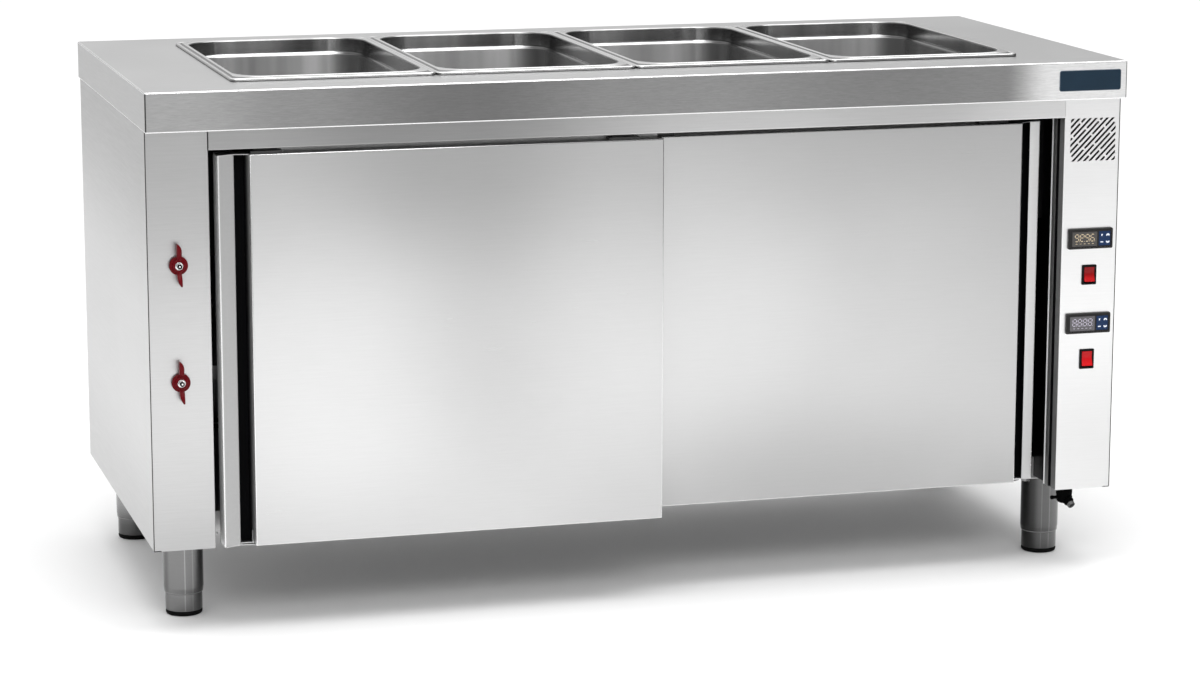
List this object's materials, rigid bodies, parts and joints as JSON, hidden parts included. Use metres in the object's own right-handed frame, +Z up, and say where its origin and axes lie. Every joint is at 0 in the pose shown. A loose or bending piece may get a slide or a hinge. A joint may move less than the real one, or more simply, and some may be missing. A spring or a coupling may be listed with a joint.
{
  "type": "bain marie counter",
  "caption": "Heated stainless serving counter: food pans set in a water-bath worktop over a warm cupboard with sliding doors, valves, controls and adjustable feet.",
  "frame": {"origin": "centre of the footprint at floor level", "axes": "+X to the right along the front, +Y to the back, +Z up"},
  "size_m": [1.6, 0.73, 0.857],
  "materials": {
    "brushed_sheet": "brushed stainless sheet, fine grain",
    "pan_steel": "pressed stainless, semi-bright",
    "inner_sheet": "plain stainless sheet",
    "leg_steel": "brushed stainless tube",
    "fastener_steel": "bright",
    "pad_rubber": "matt black",
    "valve_brass": "cast, nickel-free brass",
    "pipe_steel": "drawn tube",
    "handle_red": "dark red lacquer",
    "case_black": "fine-textured black",
    "display_glass": "smoked window",
    "keypad_blue": "moulded dark blue",
    "rocker_red": "translucent red look",
    "terminal_cream": "cream",
    "element_dark": "oxidised sheath",
    "nylon_white": "white nylon",
    "guide_black": "black nylon",
    "plate_navy": "dark blue, blank"
  },
  "bodies": {
    "cabinet": {"worktop": "brushed_sheet", "side_panel_left": "brushed_sheet", "side_panel_right": "brushed_sheet", "column_panel_left": "brushed_sheet", "control_panel": "brushed_sheet", "back_panel": "brushed_sheet", "front_fascia": "brushed_sheet", "water_tank": "inner_sheet", "pan_bars": "inner_sheet", "column_wall_left": "inner_sheet", "column_wall_right": "inner_sheet", "cabinet_floor": "inner_sheet", "inner_shelf": "inner_sheet", "ceiling_panel": "inner_sheet", "door_track": "inner_sheet", "leg_tubes": "leg_steel", "leg_bolts": "fastener_steel", "valve_bodies": "valve_brass", "fill_pipe": "pipe_steel", "drain_pipe": "pipe_steel", "controller_cases": "case_black", "rocker_bezels": "case_black", "gland_body": "case_black", "gland_nut": "case_black", "display_windows": "display_glass", "terminal_block": "terminal_cream", "tank_heater": "element_dark", "cupboard_heater": "element_dark", "lower_guide": "guide_black", "badge_plate": "plate_navy"},
    "door_left": {"door_left_outer": "brushed_sheet", "door_left_inner": "inner_sheet", "door_left_hangers": "inner_sheet"},
    "door_right": {"door_right_outer": "brushed_sheet", "door_right_inner": "inner_sheet", "door_right_hangers": "inner_sheet"},
    "door_left_roller_a": {"door_left_roller_a": "nylon_white"},
    "door_left_roller_b": {"door_left_roller_b": "nylon_white"},
    "door_right_roller_a": {"door_right_roller_a": "nylon_white"},
    "door_right_roller_b": {"door_right_roller_b": "nylon_white"},
    "fill_valve_handle": {"fill_handle": "handle_red", "fill_stem": "fastener_steel"},
    "drain_valve_handle": {"drain_handle": "handle_red", "drain_stem": "fastener_steel"},
    "rocker_upper": {"rocker_upper": "rocker_red"},
    "rocker_lower": {"rocker_lower": "rocker_red"},
    "keypad_upper": {"keypad_upper": "keypad_blue"},
    "keypad_lower": {"keypad_lower": "keypad_blue"},
    "pan_1": {"pan_1": "pan_steel"},
    "pan_2": {"pan_2": "pan_steel"},
    "pan_3": {"pan_3": "pan_steel"},
    "pan_4": {"pan_4": "pan_steel"},
    "foot_front_left": {"foot_front_left": "leg_steel", "pad_front_left": "pad_rubber"},
    "foot_front_right": {"foot_front_right": "leg_steel", "pad_front_right": "pad_rubber"},
    "foot_back_left": {"foot_back_left": "leg_steel", "pad_back_left": "pad_rubber"},
    "foot_back_right": {"foot_back_right": "leg_steel", "pad_back_right": "pad_rubber"}
  },
  "joints": [
    {"name": "door_left_slide", "type": "slide", "parent": "cabinet", "child": "door_left", "axis": [1, 0, 0], "range_m": [0, 0.667]},
    {"name": "door_right_slide", "type": "slide", "parent": "cabinet", "child": "door_right", "axis": [-1, 0, 0], "range_m": [0, 0.656]},
    {"name": "door_left_roller_a_spin", "type": "hinge", "parent": "door_left", "child": "door_left_roller_a", "pos_m": [-0.61, -0.3305, 0.7753], "axis": [0, 1, 0], "continuous": true},
    {"name": "door_left_roller_b_spin", "type": "hinge", "parent": "door_left", "child": "door_left_roller_b", "pos_m": [-0.04, -0.3305, 0.7753], "axis": [0, 1, 0], "continuous": true},
    {"name": "door_right_roller_a_spin", "type": "hinge", "parent": "door_right", "child": "door_right_roller_a", "pos_m": [0.0306, -0.2855, 0.7753], "axis": [0, 1, 0], "continuous": true},
    {"name": "door_right_roller_b_spin", "type": "hinge", "parent": "door_right", "child": "door_right_roller_b", "pos_m": [0.6006, -0.2855, 0.7753], "axis": [0, 1, 0], "continuous": true},
    {"name": "fill_valve_turn", "type": "hinge", "parent": "cabinet", "child": "fill_valve_handle", "pos_m": [-0.7515, -0.355, 0.583], "axis": [0, 1, 0], "range_deg": [0, 90]},
    {"name": "drain_valve_turn", "type": "hinge", "parent": "cabinet", "child": "drain_valve_handle", "pos_m": [-0.7515, -0.355, 0.401], "axis": [0, 1, 0], "range_deg": [0, 90]},
    {"name": "rocker_upper_tilt", "type": "hinge", "parent": "cabinet", "child": "rocker_upper", "pos_m": [0.75125, -0.342, 0.4966], "axis": [1, 0, 0], "range_deg": [0, 16]},
    {"name": "rocker_lower_tilt", "type": "hinge", "parent": "cabinet", "child": "rocker_lower", "pos_m": [0.75125, -0.342, 0.3557], "axis": [1, 0, 0], "range_deg": [0, 16]},
    {"name": "keypad_upper_press", "type": "slide", "parent": "cabinet", "child": "keypad_upper", "axis": [0, 1, 0], "range_m": [0, 0.0008], "stiffness_N_per_m": 400},
    {"name": "keypad_lower_press", "type": "slide", "parent": "cabinet", "child": "keypad_lower", "axis": [0, 1, 0], "range_m": [0, 0.0008], "stiffness_N_per_m": 400},
    {"name": "pan_1_lift", "type": "slide", "parent": "cabinet", "child": "pan_1", "axis": [0, 0, 1], "range_m": [0, 0.2]},
    {"name": "pan_2_lift", "type": "slide", "parent": "cabinet", "child": "pan_2", "axis": [0, 0, 1], "range_m": [0, 0.2]},
    {"name": "pan_3_lift", "type": "slide", "parent": "cabinet", "child": "pan_3", "axis": [0, 0, 1], "range_m": [0, 0.2]},
    {"name": "pan_4_lift", "type": "slide", "parent": "cabinet", "child": "pan_4", "axis": [0, 0, 1], "range_m": [0, 0.2]},
    {"name": "foot_front_left_screw", "type": "slide", "parent": "cabinet", "child": "foot_front_left", "axis": [0, 0, -1], "range_m": [0, 0.025]},
    {"name": "foot_front_right_screw", "type": "slide", "parent": "cabinet", "child": "foot_front_right", "axis": [0, 0, -1], "range_m": [0, 0.025]},
    {"name": "foot_back_left_screw", "type": "slide", "parent": "cabinet", "child": "foot_back_left", "axis": [0, 0, -1], "range_m": [0, 0.025]},
    {"name": "foot_back_right_screw", "type": "slide", "parent": "cabinet", "child": "foot_back_right", "axis": [0, 0, -1], "range_m": [0, 0.025]}
  ],
  "couplings": [
    {"joint": "door_left_roller_a_spin", "follows": "door_left_slide", "rad_per_m": 111.11},
    {"joint": "door_left_roller_b_spin", "follows": "door_left_slide", "rad_per_m": 111.11},
    {"joint": "door_right_roller_a_spin", "follows": "door_right_slide", "rad_per_m": -111.11},
    {"joint": "door_right_roller_b_spin", "follows": "door_right_slide", "rad_per_m": -111.11}
  ]
}
